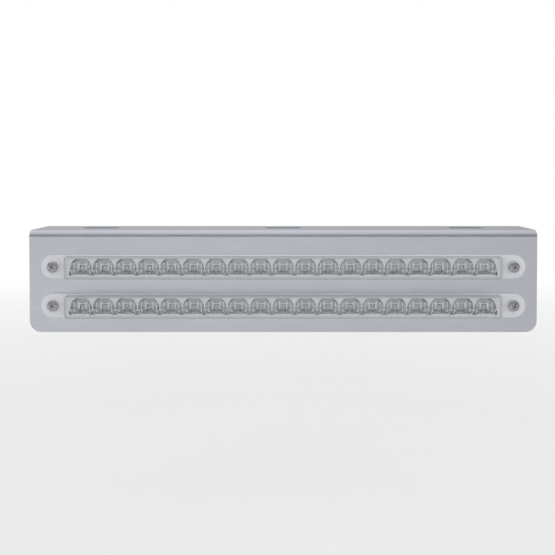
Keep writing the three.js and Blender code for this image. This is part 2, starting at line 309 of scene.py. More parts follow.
def loft(loops):
    """A solid through rings of points, all of one length, with a flat cap on each end."""
    count = len(loops[0])
    last = (len(loops) - 1) * count
    faces = []
    for start in range(0, last, count):
        for i in range(count):
            j = (i + 1) % count
            faces.append((start + i, start + j, start + count + j, start + count + i))
    faces.append(tuple(range(count)))
    faces.append(tuple(range(last, last + count)))
    return mesh_from([point for loop in loops for point in loop], faces)


def ring(outline, front):
    """An outline in x and z, set at a distance in front of the plate."""
    return [(x, -front, z) for x, z in outline]


def prism(outline, near, far):
    return loft([ring(outline, near), ring(outline, far)])


def turned(profile, sides=ROUND, x=0.0, z=0.0):
    """A solid of revolution about a line along y, from a profile of (radius, front).

    A ring on that line keeps a trace of radius, and its points are then joined into one.
    """
    around = [2 * math.pi * i / sides for i in range(sides)]
    loops = []
    for radius, front in profile:
        r = max(radius, SAME_POINT / 10)
        loops.append([(x + r * math.cos(a), -front, z + r * math.sin(a)) for a in around])
    return loft(loops)


def rod(radius, near, far, x=0.0, z=0.0, sides=ROUND):
    return turned([(radius, near), (radius, far)], sides, x, z)


def block(x, front, z):
    """A box from three (low, high) pairs."""
    outline = [(x[1], z[1]), (x[0], z[1]), (x[0], z[0]), (x[1], z[0])]
    return prism(outline, front[0], front[1])


def moved(mesh, matrix):
    copy = mesh.copy()
    copy.transform(matrix)
    if matrix.determinant() < 0:
        copy.flip_normals()
    return copy


def combine(operation, base, *others):
    """A boolean of meshes: UNION, DIFFERENCE or INTERSECT."""
    holder = bpy.data.objects.new("holder", base)
    bpy.context.scene.collection.objects.link(holder)
    tools = []
    for other in others:
        tool = bpy.data.objects.new("tool", other)
        bpy.context.scene.collection.objects.link(tool)
        tools.append(tool)
        modifier = holder.modifiers.new("cut", "BOOLEAN")
        modifier.operation = operation
        modifier.solver = "MANIFOLD"
        modifier.object = tool
    result = evaluated(holder)
    for used in (holder, *tools):
        bpy.data.objects.remove(used)
    return result


def evaluated(obj):
    """The object's mesh with its modifiers applied."""
    bpy.context.view_layer.update()
    graph = bpy.context.evaluated_depsgraph_get()
    mesh = bpy.data.meshes.new_from_object(obj.evaluated_get(graph))
    mesh.materials.clear()
    return mesh


def softened(mesh, width, angle=35):
    """The mesh with its sharp edges rounded over."""
    holder = bpy.data.objects.new("holder", mesh)
    bpy.context.scene.collection.objects.link(holder)
    bevel = holder.modifiers.new("bevel", "BEVEL")
    bevel.width = mm(width)
    bevel.segments = BEVEL_SEGMENTS
    bevel.limit_method = "ANGLE"
    bevel.angle_limit = math.radians(angle)
    bevel.miter_outer = "MITER_ARC"
    result = evaluated(holder)
    bpy.data.objects.remove(holder)
    return result


def piece(name, mesh, material, slot, *nodes, at=(0, 0, 0), crease=30):
    """A shown piece that stands for CAD nodes: smooth shaded, with edges over crease degrees sharp."""
    mesh.name = name
    if not mesh.materials:
        mesh.materials.append(material)
    mesh.shade_smooth()
    mesh.set_sharp_from_angle(angle=math.radians(crease))
    obj = bpy.data.objects.new(name, mesh)
    obj.location = mm(Vector(at))
    bpy.context.scene.collection.objects.link(obj)
    weighted = obj.modifiers.new("normals", "WEIGHTED_NORMAL")
    weighted.keep_sharp = True
    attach(obj, BODY)
    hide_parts(*nodes)


# ---- Materials ----------------------------------------------------------------------------------


class Shader:
    """A material's node tree around one Principled shader."""

    def __init__(self, name, **values):
        self.material = bpy.data.materials.new(name)
        self.material.use_nodes = True
        self.tree = self.material.node_tree
        self.principled = self.tree.nodes["Principled BSDF"]
        for socket, value in values.items():
            self.principled.inputs[socket.replace("_", " ")].default_value = value
        self.coordinates = self.node("ShaderNodeTexCoord").outputs["Object"]

    def node(self, kind, **settings):
        made = self.tree.nodes.new(kind)
        for key, value in settings.items():
            setattr(made, key, value)
        return made

    def link(self, output, target):
        self.tree.links.new(output, target)

    def stretched(self, scale):
        """Object coordinates, scaled along each axis."""
        mapping = self.node("ShaderNodeMapping")
        self.link(self.coordinates, mapping.inputs["Vector"])
        mapping.inputs["Scale"].default_value = scale
        return mapping.outputs["Vector"]

    def noise(self, scale, stretch=(1, 1, 1), detail=3.0):
        """Noise from 0 to 1. scale is in waves per metre."""
        texture = self.node("ShaderNodeTexNoise")
        self.link(self.stretched(stretch), texture.inputs["Vector"])
        texture.inputs["Scale"].default_value = scale
        texture.inputs["Detail"].default_value = detail
        return texture.outputs["Fac"]

    def between(self, factor, low, high, start=0.3, end=0.7):
        """Maps a factor from start..end to low..high, held at the ends."""
        ranged = self.node("ShaderNodeMapRange")
        self.link(factor, ranged.inputs["Value"])
        ranged.inputs["From Min"].default_value = start
        ranged.inputs["From Max"].default_value = end
        ranged.inputs["To Min"].default_value = low
        ranged.inputs["To Max"].default_value = high
        return ranged.outputs["Result"]

    def mix(self, factor, low, high):
        """A colour between low and high."""
        blend = self.node("ShaderNodeMix", data_type="RGBA")
        self.link(factor, blend.inputs["Factor"])
        for socket, value in ((blend.inputs[6], low), (blend.inputs[7], high)):
            if isinstance(value, tuple):
                socket.default_value = (*value, 1)
            else:
                self.link(value, socket)
        return blend.outputs[2]

    def colour(self, output):
        self.link(output, self.principled.inputs["Base Color"])

    def roughness(self, output):
        self.link(output, self.principled.inputs["Roughness"])

    def bump(self, height, depth):
        """Bump of a depth in millimetres."""
        bump = self.node("ShaderNodeBump")
        self.link(height, bump.inputs["Height"])
        bump.inputs["Distance"].default_value = mm(depth)
        bump.inputs["Strength"].default_value = 1
        self.link(bump.outputs["Normal"], self.principled.inputs["Normal"])


def stainless():
    """Polished stainless sheet with a fine grain along its length."""
    shader = Shader("stainless_sheet", Metallic=1.0)
    grain = shader.noise(60, stretch=(1, 26, 26), detail=6)
    cloud = shader.noise(9, stretch=(1, 2.2, 2.2), detail=2)
    tone = shader.mix(shader.between(cloud, 0, 1), (0.755, 0.768, 0.843), (0.79, 0.805, 0.88))
    shader.colour(shader.mix(shader.between(grain, 0, 0.3), tone, (0.69, 0.702, 0.773)))
    shader.roughness(shader.between(grain, 0.36, 0.42))
    shader.bump(grain, 0.003)
    return shader.material


def clear_lens():
    """Clear polycarbonate with a faint haze."""
    shader = Shader("clear_polycarbonate", IOR=1.56, Transmission_Weight=1.0)
    haze = shader.noise(120)
    shader.colour(shader.mix(haze, (0.972, 0.978, 0.982), (0.985, 0.988, 0.99)))
    shader.roughness(shader.between(haze, 0.015, 0.05))
    shader.bump(shader.noise(35, detail=1), 0.02)
    return shader.material


def frosted_lens():
    """The etched face of the lens tabs."""
    shader = Shader("frosted_polycarbonate", IOR=1.56, Transmission_Weight=0.25)
    speckle = shader.noise(900, detail=4)
    shader.colour(shader.mix(speckle, (0.775, 0.785, 0.81), (0.855, 0.865, 0.89)))
    shader.roughness(shader.between(speckle, 0.42, 0.6))
    shader.bump(speckle, 0.02)
    return shader.material


def textured_lens():
    """The finely textured walls and border of the clear lens, with painted shade to the front and painted
    light by the plate.
    """
    shader = Shader("textured_polycarbonate_painted_shading", IOR=1.56, Transmission_Weight=0.15, Specular_IOR_Level=0.0)
    speckle = shader.noise(900, detail=4)
    place = shader.node("ShaderNodeSeparateXYZ")
    shader.link(shader.coordinates, place.inputs[0])
    # Painted light and shade: the walls are painted paler near the plate, where they lie in the shade of
    # the plate and the other lens, and greyer towards the front.
    painted_light_near_plate = shader.between(place.outputs["Y"], 0, 1, mm(-WALL_PAINTED_SHADE_AT), mm(-WALL_PAINTED_LIGHT_AT))
    low = shader.mix(painted_light_near_plate, (0.46, 0.47, 0.49), (0.92, 0.93, 0.945))
    high = shader.mix(painted_light_near_plate, (0.49, 0.50, 0.515), (0.965, 0.97, 0.98))
    shader.colour(shader.mix(speckle, low, high))
    shader.roughness(shader.between(speckle, 0.4, 0.55))
    return shader.material


def metallised():
    """Vacuum-metallised moulded plastic."""
    shader = Shader("metallised_plastic", Metallic=1.0)
    ripple = shader.noise(260, detail=2)
    shader.colour(shader.mix(ripple, (0.65, 0.662, 0.683), (0.71, 0.722, 0.741)))
    shader.roughness(shader.between(ripple, 0.07, 0.13))
    shader.bump(ripple, 0.004)
    return shader.material


def led_package():
    """The pale moulded body of an LED."""
    shader = Shader("led_package", IOR=1.5)
    fine = shader.noise(900)
    shader.colour(shader.mix(fine, (0.74, 0.735, 0.75), (0.82, 0.815, 0.83)))
    shader.roughness(shader.between(fine, 0.32, 0.45))
    return shader.material


def led_dome():
    """The silicone dome over the chip, tinted by the chip and its bond below."""
    shader = Shader("led_dome", IOR=1.45, Coat_Weight=0.6, Coat_Roughness=0.05)
    fine = shader.noise(700)
    shader.colour(shader.mix(fine, (0.72, 0.71, 0.725), (0.81, 0.80, 0.815)))
    shader.roughness(shader.between(fine, 0.12, 0.22))
    return shader.material


def solder_mask():
    """White solder mask with the copper tracks raised a little below it."""
    shader = Shader("solder_mask", IOR=1.5)
    tracks = shader.node("ShaderNodeTexWave", wave_type="BANDS", bands_direction="Z")
    shader.link(shader.stretched((0.02, 1, 1)), tracks.inputs["Vector"])
    tracks.inputs["Scale"].default_value = 55
    tracks.inputs["Distortion"].default_value = 2.0
    band = shader.between(tracks.outputs["Fac"], 0, 1, 0.62, 0.66)
    shader.colour(shader.mix(band, (0.74, 0.74, 0.73), (0.82, 0.82, 0.81)))
    shader.roughness(shader.between(shader.noise(400), 0.38, 0.5))
    shader.bump(band, 0.03)
    return shader.material


def pale_plastic():
    """Pale moulded ABS with a fine spark texture."""
    shader = Shader("pale_plastic", IOR=1.5)
    grain = shader.noise(1400, detail=4)
    shader.colour(shader.mix(grain, (0.60, 0.61, 0.60), (0.68, 0.69, 0.68)))
    shader.roughness(shader.between(grain, 0.42, 0.62))
    shader.bump(grain, 0.02)
    return shader.material


def black_rubber():
    """Matte moulded rubber with a trace of bloom."""
    shader = Shader("black_rubber", IOR=1.45)
    bloom = shader.noise(500, detail=4)
    shader.colour(shader.mix(bloom, (0.010, 0.010, 0.010), (0.032, 0.031, 0.030)))
    shader.roughness(shader.between(bloom, 0.75, 0.9))
    shader.bump(bloom, 0.02)
    return shader.material


def screw_steel():
    """Bright stainless fastener steel with faint tumbling marks."""
    shader = Shader("screw_steel", Metallic=1.0)
    marks = shader.noise(900, detail=4)
    shader.colour(shader.mix(marks, (0.54, 0.54, 0.56), (0.65, 0.65, 0.67)))
    shader.roughness(shader.between(marks, 0.38, 0.5))
    shader.bump(marks, 0.006)
    return shader.material


STEEL = stainless()
CLEAR = clear_lens()
FROSTED = frosted_lens()
TEXTURED = textured_lens()
CHROME = metallised()
PACKAGE = led_package()
DOME = led_dome()
BOARD = solder_mask()
PLASTIC = pale_plastic()
RUBBER = black_rubber()
FASTENER = screw_steel()

# ---- Bracket ------------------------------------------------------------------------------------


def bracket_profile():
    """The folded sheet's section in y and z."""
    inner = BEND_RADIUS - SHEET
    y, z = FACE_FRONT_Y + BEND_RADIUS, -BEND_RADIUS
    outside = arc(y, z, BEND_RADIUS, 180, 90, BEND_STEPS)
    inside = arc(y, z, inner, 90, 180, BEND_STEPS)
    flange_end = [(FLANGE_REAR_Y, 0), (FLANGE_REAR_Y, -SHEET)]
    face_end = [(FACE_BACK_Y, BOTTOM_Z), (FACE_FRONT_Y, BOTTOM_Z)]
    return outside + flange_end + inside + face_end


def bracket():
    """The folded sheet with its rounded lower corners, slots and holes, drawn in the object's axes."""
    half = BRACKET_LENGTH / 2
    profile = bracket_profile()
    folded = loft([[(x, y, z) for y, z in profile] for x in (-half, half)])
    outline = rounded_rectangle(BRACKET_LENGTH, -2 * BOTTOM_Z, CORNER_RADIUS, CORNER_STEPS)
    rounded = combine("INTERSECT", folded, prism(outline, -LONG, LONG))
    cutters = []
    for opening in frame["record"]["physics"]["openings"]:
        if not opening["name"].endswith("slot"):
            continue
        low, high = (Vector(corner) / mm(1) for corner in opening["box_m"])
        x, y, _ = (low + high) / 2
        end_radius = SLOT_WIDTH / 2 - SAME_POINT
        stadium = rounded_rectangle(SLOT_LENGTH, SLOT_WIDTH, end_radius, CORNER_STEPS)
        loops = [[(x + u, y + v, z) for u, v in stadium] for z in (-2 * SHEET, SHEET)]
        cutters.append(loft(loops))
    through = (-FACE_BACK_Y - SHEET, -FACE_FRONT_Y + SHEET)
    for lamp_z in LAMP_Z.values():
        cutters.append(rod(OUTLET_HOLE_RADIUS, *through, 0, lamp_z))
        cutters += [rod(SCREW_HOLE_RADIUS, *through, x, lamp_z, HOLE_SIDES) for x in SCREW_X.values()]
    pierced = combine("DIFFERENCE", rounded, *cutters)
    piece("bracket", softened(pierced, EDGE_BREAK), STEEL, "stainless_steel", "mounting_bracket")


bracket()

# ---- Lens ---------------------------------------------------------------------------------------


def fillet_rings(length, height, corner, base, front, fillet, draft):
    """Rings of a rounded box from base to front, leaning in by draft, with its front edge filleted."""
    rings = [(0.0, base), (draft, front - fillet)]
    for i in range(1, FILLET_STEPS + 1):
        turn = math.pi / 2 * i / FILLET_STEPS
        rings.append((draft + fillet * (1 - math.cos(turn)), front - fillet + fillet * math.sin(turn)))
    loops = []
    for inset, depth in rings:
        radius = max(corner - inset * CORNER_TIGHTENING, SMALLEST_CORNER)
        outline = rounded_rectangle(
            length - 2 * inset, height - 2 * inset, radius, LENS_CORNER_STEPS)
        loops.append(ring(outline, depth))
    return loops


def lens_tab():
    """The right-hand tab with its boss and gusset, before the screw hole is cut."""
    wall, screw = LENS_LENGTH / 2, SCREW_X["right"]
    start = wall - LENS_WALL
    outline, inner = (
        arc(screw, 0, radius, -90, 90, TAB_STEPS) + [(start, radius), (start, -radius)]
        for radius in (TAB_RADIUS, TAB_RADIUS - TAB_EDGE))
    plate = loft([
        ring(outline, FIT), ring(outline, TAB_THICKNESS - TAB_EDGE), ring(inner, TAB_THICKNESS)])
    top = TAB_THICKNESS + BOSS_HEIGHT
    foot = BOSS_RADIUS + BOSS_FOOT
    boss = turned(
        [(foot, FIT), (foot, TAB_THICKNESS - OVERLAP),
         (BOSS_RADIUS, top - BOSS_EDGE[1]), (BOSS_RADIUS - BOSS_EDGE[0], top)], x=screw)
    profile = [(start, RIB_TOP), (wall, RIB_TOP), (wall + RIB_REACH, TAB_THICKNESS),
               (wall + RIB_REACH, FIT), (start, FIT)]
    half = RIB_THICKNESS / 2
    gusset = loft([[(x, -front, z) for x, front in profile] for z in (-half, half)])
    return combine("UNION", plate, boss, gusset)


def lens():
    """The hollow lens body with a ring of points round its clear front, and its two tabs."""
    window = rounded_rectangle(
        LENS_LENGTH - 2 * LENS_END_BORDER, LENS_HEIGHT - 2 * LENS_BORDER,
        SMALLEST_CORNER, LENS_CORNER_STEPS)
    window = [(x, y, z + BORDER_RISE) for x, y, z in ring(window, LENS_FRONT)]
    body = fillet_rings(
        LENS_LENGTH, LENS_HEIGHT, LENS_CORNER_RADIUS, FIT, LENS_FRONT, LENS_FILLET, LENS_DRAFT)
    outer = loft([*body, window])
    inner = loft(fillet_rings(
        LENS_LENGTH - 2 * LENS_WALL, LENS_HEIGHT - 2 * LENS_WALL, LENS_CORNER_RADIUS / 2,
        -LENS_WALL, LENS_FRONT - LENS_FRONT_WALL, LENS_INNER_FILLET, LENS_DRAFT))
    right = lens_tab()
    left = moved(right, Matrix.Scale(-1, 4, (1, 0, 0)))
    holes = [rod(SCREW_HOLE_RADIUS, -LENS_FRONT, LENS_FRONT, x) for x in SCREW_X.values()]
    solid = combine("UNION", outer, right, left)
    return combine("DIFFERENCE", solid, inner, *holes)


def finish_lens(mesh):
    """Clear in front, frosted on the tabs, textured on the walls and along the border of the front."""
    for material in (CLEAR, FROSTED, TEXTURED):
        mesh.materials.append(material)
    tab_x = mm(LENS_LENGTH / 2 + OVERLAP)
    wall_x, wall_z = mm(LENS_LENGTH / 2 - LENS_END_BORDER), mm(LENS_HEIGHT / 2 - LENS_BORDER)
    for face in mesh.polygons:
        x, z = abs(face.center.x), abs(face.center.z)
        if x > tab_x:
            face.material_index = 1
        elif x > wall_x or z > wall_z:
            face.material_index = 2


lens_mesh = lens()
finish_lens(lens_mesh)
for row in ROWS:
    piece(f"{row}_clear_lens", lens_mesh, CLEAR, "clear_lens", f"{row}_lens",
          at=on_plate(row), crease=25)

# ---- Reflector ----------------------------------------------------------------------------------


def along(table, z):
    """A value from a table of (z, value), straight between its entries and held past the ends."""
    if z <= table[0][0]:
        return table[0][1]
    for (low, start), (high, end) in zip(table, table[1:]):
        if z <= high:
            return start + (end - start) * (z - low) / (high - low)
    return table[-1][1]


def cup_rows():
    """Heights of the cell's rows of points: every bend in the tables, with an even fill between."""
    half = REFLECTOR_HALF_HEIGHT
    marks = {-half, half, CUP_TOP, CUP_SHOULDER, CUP_SHOULDER + SHOULDER_STEP, CUP_BOTTOM, *SPREAD}
    marks |= {SEAM - SEAM_HALF_WIDTH, SEAM, SEAM + SEAM_HALF_WIDTH}
    marks |= {*POCKET, POCKET[0] + POCKET_EDGE, POCKET[1] - POCKET_EDGE}
    for table in (THROAT_WIDTH, STROKE, MIDDLE_DEPTH, STROKE_DEPTH, LEDGE_DEPTH):
        marks |= {z for z, _ in table}
    marks = sorted(marks)
    rows = []
    for low, high in zip(marks, marks[1:]):
        count = max(1, round((high - low) / ROW_HEIGHT))
        rows += [low + (high - low) * i / count for i in range(count)]
    return rows + [half]


def cup_row(z):
    """Points (x, front) of one row, from the cup's middle to the border of its cell."""
    border = LED_PITCH / 2
    rim = math.sqrt(CUP_RIM_RADIUS ** 2 - z ** 2)
    top = along(RIM_FRONT, z)
    middle, stroke, ledge = (along(table, z) for table in (MIDDLE_DEPTH, STROKE_DEPTH, LEDGE_DEPTH))
    inner = along(STROKE, z) - STROKE_HALF_WIDTH
    outer = inner + 2 * STROKE_HALF_WIDTH
    throat = inner - SPREAD_GAP
    if SPREAD[0] < z < SPREAD[1]:
        throat = min(along(THROAT_WIDTH, z), inner)
    ledge_start = min(LEDGE[0], rim - LEDGE_TO_RIM[0])
    if z > CUP_SHOULDER:
        ledge = top
        ledge_start = outer + SHOULDER_GAP
    if z < CUP_BOTTOM:
        middle = stroke = ledge = top
    lip = min(rim + RIM_LIP, border)
    wall = min(lip + POCKET_WALL, border)
    floor = top
    if POCKET[0] < z < POCKET[1] and wall < border:
        floor -= POCKET_DEPTH * (POCKET[1] - z) / (POCKET[1] - POCKET[0])
    seam = SEAM_GROOVE if z == SEAM else 0
    knots = [
        (0, middle), (throat, middle),
        (min(throat + THROAT_EDGE, inner), max(middle, along(THROAT_LIP, z))),
        (inner, stroke), (outer, stroke),
        (ledge_start, ledge - seam), (min(LEDGE[1], rim - LEDGE_TO_RIM[1]), ledge - seam),
        (rim, top - seam), (lip, top - seam), (wall, floor - seam), (border, floor - seam)]
    for i in range(1, len(knots)):
        knots[i] = (max(knots[i][0], knots[i - 1][0]), knots[i][1])
    points = []
    for (x0, f0), (x1, f1), count, sag in zip(knots, knots[1:], CELL_STEPS, CELL_SAG):
        dip = sag if f1 > f0 + SAG_RISE else 0
        for i in range(count):
            t = i / count
            points.append((x0 + (x1 - x0) * t, f0 + (f1 - f0) * t - dip * math.sin(math.pi * t)))
    return points + [knots[-1]]


def cup_cell():
    """One cell: its points, the faces of its metallised front, and the faces of its skirt and back."""
    rows = cup_rows()
    half, border = REFLECTOR_HALF_HEIGHT, LED_PITCH / 2
    points = []

    def line(xs_fronts, z):
        start = len(points)
        points.extend((x, -depth, z) for x, depth in xs_fronts)
        return list(range(start, len(points)))

    def mirrored(right):
        return [(-x, depth) for x, depth in reversed(right[1:])] + right

    def skin(lines, heights):
        """Faces between lines of points, left out beside the middle where the throat is open."""
        middle = len(lines[0]) // 2
        faces = []
        for low, high, bottom, top in zip(lines, lines[1:], heights, heights[1:]):
            is_open = THROAT_BOTTOM < (bottom + top) / 2 < THROAT_TOP
            for i in range(len(low) - 1):
                if not (is_open and i in (middle - 1, middle)):
                    faces.append((low[i], low[i + 1], high[i + 1], high[i]))
        return faces

    fine = [line(mirrored(cup_row(z)), z) for z in rows[1:-1]]
    front = skin(fine, rows[1:-1])
    ends = [line([(x, along(RIM_FRONT, z)) for x in (-border, border)], z) for z in (-half, half)]
    front.append((*ends[0], *reversed(fine[0])))
    front.append((*reversed(ends[1]), *fine[-1]))

    back = []
    for z in rows:
        throat = min(along(THROAT_WIDTH, z), along(STROKE, z) - STROKE_HALF_WIDTH)
        back.append(line([(x, REFLECTOR_BACK) for x in (-border, -throat, 0, throat, border)], z))
    plain = skin(back, rows)
    plain.append((*ends[0], *reversed(back[0])))
    plain.append((*ends[1], *reversed(back[-1])))
    return points, front, plain


def stretch_ends(built, step, depth):
    """Carries the open ends of the strip outwards by a step, with its front at least at a depth."""
    behind = mm(REFLECTOR_BACK + WELD)
    edges = [edge for edge in built.edges if edge.is_boundary]
    grown = bmesh.ops.extrude_edge_only(built, edges=edges)["geom"]
    for vert in (item for item in grown if isinstance(item, bmesh.types.BMVert)):
        vert.co.x += math.copysign(mm(step), vert.co.x)
        if -vert.co.y > behind:
            vert.co.y = min(vert.co.y, -mm(depth))
    for face in (item for item in grown if isinstance(item, bmesh.types.BMFace)):
        face.material_index = int(any(-vert.co.y < behind for vert in face.verts))


def reflector():
    """All cups side by side, and a flat strip past each end."""
    points, front, plain = cup_cell()
    end_strip = (REFLECTOR_LENGTH - LED_COUNT * LED_PITCH) / 2
    rim = RIM_FRONT[-1][1]
    built = bmesh.new()
    for x in LED_X:
        verts = [built.verts.new(mm(Vector((x + px, py, pz)))) for px, py, pz in points]
        for index, faces in enumerate((front, plain)):
            for face in faces:
                built.faces.new([verts[i] for i in face]).material_index = index
    bmesh.ops.remove_doubles(built, verts=built.verts, dist=mm(WELD))
    bmesh.ops.dissolve_degenerate(built, edges=built.edges, dist=mm(WELD / 2))
    flat_strip = end_strip - END_POCKET_WALL - END_RISE
    for step, depth in ((END_POCKET_WALL, rim), (flat_strip, rim), (END_RISE, REFLECTOR_FRONT)):
        stretch_ends(built, step, depth)
    ends = bmesh.ops.edgeloop_fill(built, edges=[e for e in built.edges if e.is_boundary])["faces"]
    for face in ends:
        face.material_index = 1
    bmesh.ops.recalc_face_normals(built, faces=built.faces)
    mesh = bpy.data.meshes.new("reflector")
    built.to_mesh(mesh)
    built.free()
    mesh.materials.append(CHROME)
    mesh.materials.append(PLASTIC)
    return mesh


reflector_mesh = reflector()
for row in ROWS:
    piece(f"{row}_cups", reflector_mesh, CHROME, "chromed_plastic", f"{row}_reflector",
          at=on_plate(row), crease=20)

# ---- LEDs and circuit boards --------------------------------------------------------------------


def joined(*parts):
    """Meshes laid together as one, each with its own material: pairs of (mesh, material)."""
    built = bmesh.new()
    materials = []
    for mesh, material in parts:
        start = len(built.faces)
        built.from_mesh(mesh)
        built.faces.ensure_lookup_table()
        materials.append(material)
        for face in built.faces[start:]:
            face.material_index = len(materials) - 1
    mesh = bpy.data.meshes.new("joined")
    built.to_mesh(mesh)
    built.free()
    for material in materials:
        mesh.materials.append(material)
    return mesh


def led():
    """A square package with a round well, and the dome that stands in it."""
    back, tip = front_span("upper_led_01")
    top = back + LED_BASE_HEIGHT
    half = LED_BASE / 2
    base = softened(block((-half, half), (back, top), (-half, half)), LED_EDGE)
    well_floor = top - LED_WELL_DEPTH
    well = turned(
        [(LED_WELL_RADIUS - LED_WELL_TAPER, well_floor), (LED_WELL_RADIUS, top + 2 * OVERLAP)], LED_SIDES)
    base = combine("DIFFERENCE", base, well)
    rise = tip - top
    dome = [(LED_DOME_RADIUS, well_floor + WELD), (LED_DOME_RADIUS, top)]
    for i in range(1, DOME_STEPS + 1):
        turn = math.pi / 2 * i / DOME_STEPS
        dome.append((LED_DOME_RADIUS * math.cos(turn), top + rise * math.sin(turn)))
    return joined((base, PACKAGE), (turned(dome, LED_SIDES), DOME))


def circuit_board():
    """The board with the chip resistors on its back, which are as matte and black as the seals."""
    back, front = BOARD_BACK, BOARD_BACK + BOARD_THICKNESS
    outline = rounded_rectangle(BOARD_LENGTH, BOARD_HEIGHT, BOARD_CORNER, SMALL_CORNER_STEPS)
    parts = [(softened(prism(outline, back, front), BOARD_EDGE), BOARD)]
    half_length, half_width = RESISTOR_LENGTH / 2, RESISTOR_WIDTH / 2
    for x in LED_X[1::LEDS_PER_RESISTOR]:
        body = block(
            (x - half_length, x + half_length), (back - RESISTOR_HEIGHT, back), (-half_width, half_width))
        parts.append((softened(body, RESISTOR_EDGE), RUBBER))
    return joined(*parts)


led_mesh = led()
board_mesh = circuit_board()
for row in ROWS:
    for i, x in enumerate(LED_X, 1):
        piece(f"{row}_led_{i:02d}_package", led_mesh, PACKAGE, "led_resin", f"{row}_led_{i:02d}",
              at=on_plate(row, x))
    piece(f"{row}_board", board_mesh, BOARD, "circuit_board", f"{row}_circuit_board", at=on_plate(row))

# ---- Housings and wire seals --------------------------------------------------------------------


def housing():
    """The tray behind the lens, with the outlet that passes through the plate."""
    back, tray_front = front_span("upper_housing")
    tray_back = 2 * FIT
    length, height = extent("upper_housing", 0), extent("upper_housing", 2)
    outline = rounded_rectangle(length, height, LENS_CORNER_RADIUS / 2, HOUSING_CORNER_STEPS)
    tray = prism(outline, tray_back, tray_front)
    cavity = rounded_rectangle(
        length - 2 * HOUSING_RIM, height - 2 * HOUSING_RIM, HOUSING_INNER_CORNER, SMALL_CORNER_STEPS)
    inside = prism(cavity, tray_back + HOUSING_FLOOR, LENS_FRONT)
    outlet = rod(OUTLET_RADIUS, back, tray_back + HOUSING_FLOOR / 2)
    bore = rod(OUTLET_BORE, -LONG, LONG)
    solid = combine("UNION", tray, outlet)
    return softened(combine("DIFFERENCE", solid, inside, bore), HOUSING_EDGE)


def wire_seal():
    """The plug in the outlet, with a hole for each lead."""
    back, front = front_span("upper_wire_seal")
    radius = extent("upper_wire_seal", 2) / 2
    plug = turned([
        (radius - SEAL_CHAMFER, back), (radius, back + SEAL_CHAMFER),
        (radius, front - SEAL_EDGE), (radius - SEAL_EDGE, front)])
    holes = []
    for i in range(LEAD_COUNT):
        turn = math.pi / 2 + 2 * math.pi * i / LEAD_COUNT
        x, z = LEAD_CIRCLE_RADIUS * math.cos(turn), LEAD_CIRCLE_RADIUS * math.sin(turn)
        holes.append(rod(LEAD_HOLE_RADIUS, -LONG, LONG, x, z, LEAD_HOLE_SIDES))
    return softened(combine("DIFFERENCE", plug, *holes), SEAL_ROUNDING, angle=60)


housing_mesh = housing()
seal_mesh = wire_seal()
for row in ROWS:
    piece(f"{row}_tray", housing_mesh, PLASTIC, "pale_plastic", f"{row}_housing", at=on_plate(row))
    piece(f"{row}_seal", seal_mesh, RUBBER, "black_rubber", f"{row}_wire_seal", at=on_plate(row))

# ---- Screws and nuts ----------------------------------------------------------------------------


def recess_arm(top):
    """One bar of the cross recess, narrowing as it goes in."""
    sections = [(long, wide, top - RECESS_DEPTH * deep) for long, wide, deep in RECESS_TAPER]
    loops = []
    for long, wide, front in (*sections, (1, 1, top + RECESS_REACH)):
        x, z = RECESS_LENGTH / 2 * long, RECESS_WIDTH / 2 * wide
        loops.append([(x, -front, z), (-x, -front, z), (-x, -front, -z), (x, -front, -z)])
    return loft(loops)


def screw():
    """A pan-head machine screw with a cross recess."""
    end, tip = front_span("upper_left_screw")
    seat = tip - HEAD_HEIGHT
    crown = seat + HEAD_SIDE
    head = [(SCREW_RADIUS - 2 * OVERLAP, seat)]
    head += [(HEAD_RADIUS - inset, seat + rise) for inset, rise in HEAD_FOOT]
    head.append((HEAD_RADIUS, crown))
    for i in range(1, CROWN_STEPS):
        turn = math.pi / 2 * i / CROWN_STEPS
        across, up = math.cos(turn) ** CROWN_POWERS[0], math.sin(turn) ** CROWN_POWERS[1]
        head.append((HEAD_RADIUS * across, crown + (tip - crown) * up))
    head.append((0, tip))
    arm = recess_arm(tip)
    turns = (RECESS_TURN, RECESS_TURN + 90)
    arms = [moved(arm, Matrix.Rotation(math.radians(turn), 4, "Y")) for turn in turns]
    cap = combine("DIFFERENCE", turned(head, FINE_ROUND), *arms)
    shank = thread(end, seat + OVERLAP)
    return joined((softened(cap, RECESS_EDGE, angle=40), FASTENER), (shank, FASTENER))


def thread(end, seat):
    """A threaded shank with a chamfered end."""
    loops = []
    count = round((seat - end) / THREAD_STEP)
    for j in range(count + 1):
        front = end + (seat - end) * j / count
        limit = SCREW_RADIUS - max(0.0, SHANK_CHAMFER - (front - end))
        loop = []
        for i in range(BORE_SIDES):
            turn = 2 * math.pi * i / BORE_SIDES
            phase = (front / THREAD_PITCH + i / BORE_SIDES) % 1
            flank = (GROOVE_FLAT / 2 + GROOVE_FLANK - abs(phase - 0.5)) / GROOVE_FLANK
            radius = min(limit, SCREW_RADIUS - THREAD_DEPTH * min(1, max(0, flank)))
            loop.append((radius * math.cos(turn), -front, radius * math.sin(turn)))
        loops.append(loop)
    return loft(loops)


def nut():
    """A hexagon flange nut with chamfered corners."""
    back, seat = front_span("upper_left_nut")
    corner = NUT_FLATS / math.sqrt(3)
    chamfered = back + NUT_CHAMFER
    hexagon = rod(corner, back, seat - FIT, sides=6)
    chamfer = turned([
        (NUT_FLATS / 2 + OVERLAP, back - WELD), (corner + OVERLAP, chamfered), (corner + OVERLAP, seat)],
        FINE_ROUND)
    flange = turned([(radius, seat - height) for radius, height in NUT_FLANGE], FINE_ROUND)
    bore = rod(NUT_BORE, -LONG, LONG, sides=BORE_SIDES)
    countersink = turned(
        [(NUT_BORE + NUT_COUNTERSINK, back - WELD), (NUT_BORE - OVERLAP, chamfered)], BORE_SIDES)
    body = combine("UNION", combine("INTERSECT", hexagon, chamfer), flange)
    return softened(combine("DIFFERENCE", body, bore, countersink), NUT_EDGE, angle=40)


